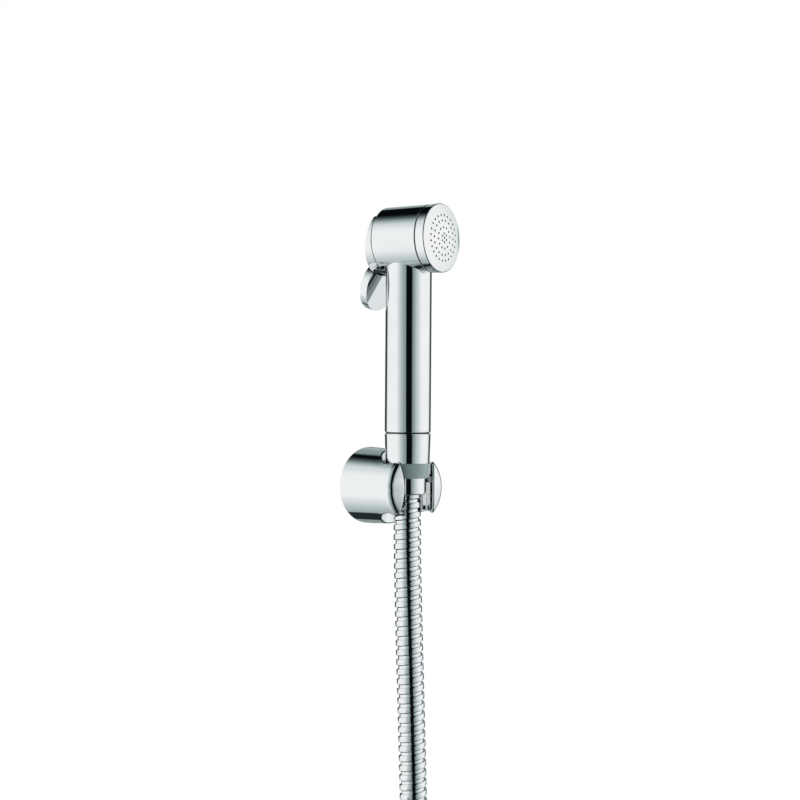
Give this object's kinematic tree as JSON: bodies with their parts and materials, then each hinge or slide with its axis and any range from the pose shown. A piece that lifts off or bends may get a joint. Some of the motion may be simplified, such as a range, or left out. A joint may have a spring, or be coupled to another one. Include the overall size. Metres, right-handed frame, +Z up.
{
  "type": "hand shower set",
  "caption": "Trigger hand shower with a round spray head, standing in a round wall holder, with its coiled metal hose.",
  "frame": {"origin": "on the wall, on the axis of the holder's barrel, which is the centre of the holder's wall face", "axes": "+Z up, -Y out of the wall into the room, +X to the right when facing the wall"},
  "size_m": [0.1871, 0.061, 0.4845],
  "materials": {
    "chrome_casting": "polished",
    "chrome_face": "polished",
    "chrome_lever": "polished",
    "chrome_nut": "polished",
    "chrome_holder": "polished",
    "hose_chrome": "polished metal hose",
    "inner_brass": "turned",
    "spring_steel": "plain",
    "rubber_seal": "matt",
    "inner_plastic": "moulded",
    "grey_plastic": "moulded, matt",
    "tie_plastic": "moulded"
  },
  "bodies": {
    "set": {"handset_body": "chrome_casting", "spray_cap": "chrome_face", "cap_gasket": "rubber_seal", "flow_disc": "inner_plastic", "valve_seat": "inner_brass", "stem_bush": "inner_brass", "stem_seal": "rubber_seal", "valve_spring": "spring_steel", "lever_pin": "spring_steel", "cone_nut": "chrome_nut", "hose_tail": "inner_brass", "handle_washer": "rubber_seal", "hose_ferrule": "chrome_nut", "swivel_ring": "grey_plastic", "holder_body": "chrome_holder", "wall_plate": "inner_brass", "grub_screw": "spring_steel", "hose": "hose_chrome", "hose_end": "hose_chrome", "hose_coil": "hose_chrome", "coil_tie": "tie_plastic", "end_tail": "inner_brass", "end_ferrule": "chrome_nut", "end_washer": "rubber_seal"},
    "lever": {"lever": "chrome_lever"},
    "stem": {"valve_stem": "inner_brass", "valve_washer": "rubber_seal"},
    "end_nut": {"end_nut": "chrome_nut"}
  },
  "joints": [
    {"name": "lever_hinge", "type": "hinge", "parent": "set", "child": "lever", "pos_m": [-0.00364, -0.01719, 0.1111], "axis": [-0.9641, -0.2656, 0], "range_deg": [0, 10], "stiffness_Nm_per_rad": 0.6, "springref_deg": -20.05},
    {"name": "valve_slide", "type": "slide", "parent": "set", "child": "stem", "axis": [-0.2656, 0.9641, 0], "range_m": [0, 0.0032], "deforming": ["valve_spring"]},
    {"name": "end_nut_spin", "type": "hinge", "parent": "set", "child": "end_nut", "pos_m": [0.0194, -0.049, -0.314], "axis": [0, 0, -1], "continuous": true}
  ],
  "couplings": [
    {"joint": "valve_slide", "follows": "lever_hinge", "m_per_rad": 0.0175}
  ]
}
